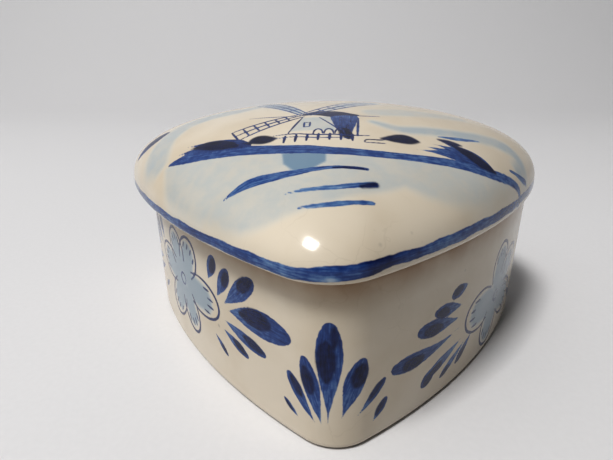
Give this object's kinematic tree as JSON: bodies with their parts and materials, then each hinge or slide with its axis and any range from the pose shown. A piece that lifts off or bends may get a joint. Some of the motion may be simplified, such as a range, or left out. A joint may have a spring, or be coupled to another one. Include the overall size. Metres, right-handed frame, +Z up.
{
  "type": "heart-shaped trinket box",
  "caption": "Heart-shaped trinket box in glazed earthenware: straight-walled body with a foot ring, and a loose domed lid with an overhanging edge and a locating flange underneath.",
  "frame": {"origin": "on the resting surface, under the middle of the lid's width and length", "axes": "+Z up; the heart's rounded tip points along -Y and its cleft along +Y; X runs across the lobes"},
  "size_m": [0.09, 0.0761, 0.0476],
  "materials": {
    "box_glaze": "glossy cream tin glaze with hand-painted cobalt leaves and flowers, unglazed foot",
    "lid_glaze": "glossy cream tin glaze with a hand-painted cobalt landscape, washes and edge band"
  },
  "bodies": {
    "box": {"box_body": "box_glaze"},
    "lid": {"lid": "lid_glaze"}
  },
  "joints": [
    {"name": "lid_lift", "type": "slide", "parent": "box", "child": "lid", "axis": [0, 0, 1], "range_m": [0, 0.06]}
  ]
}
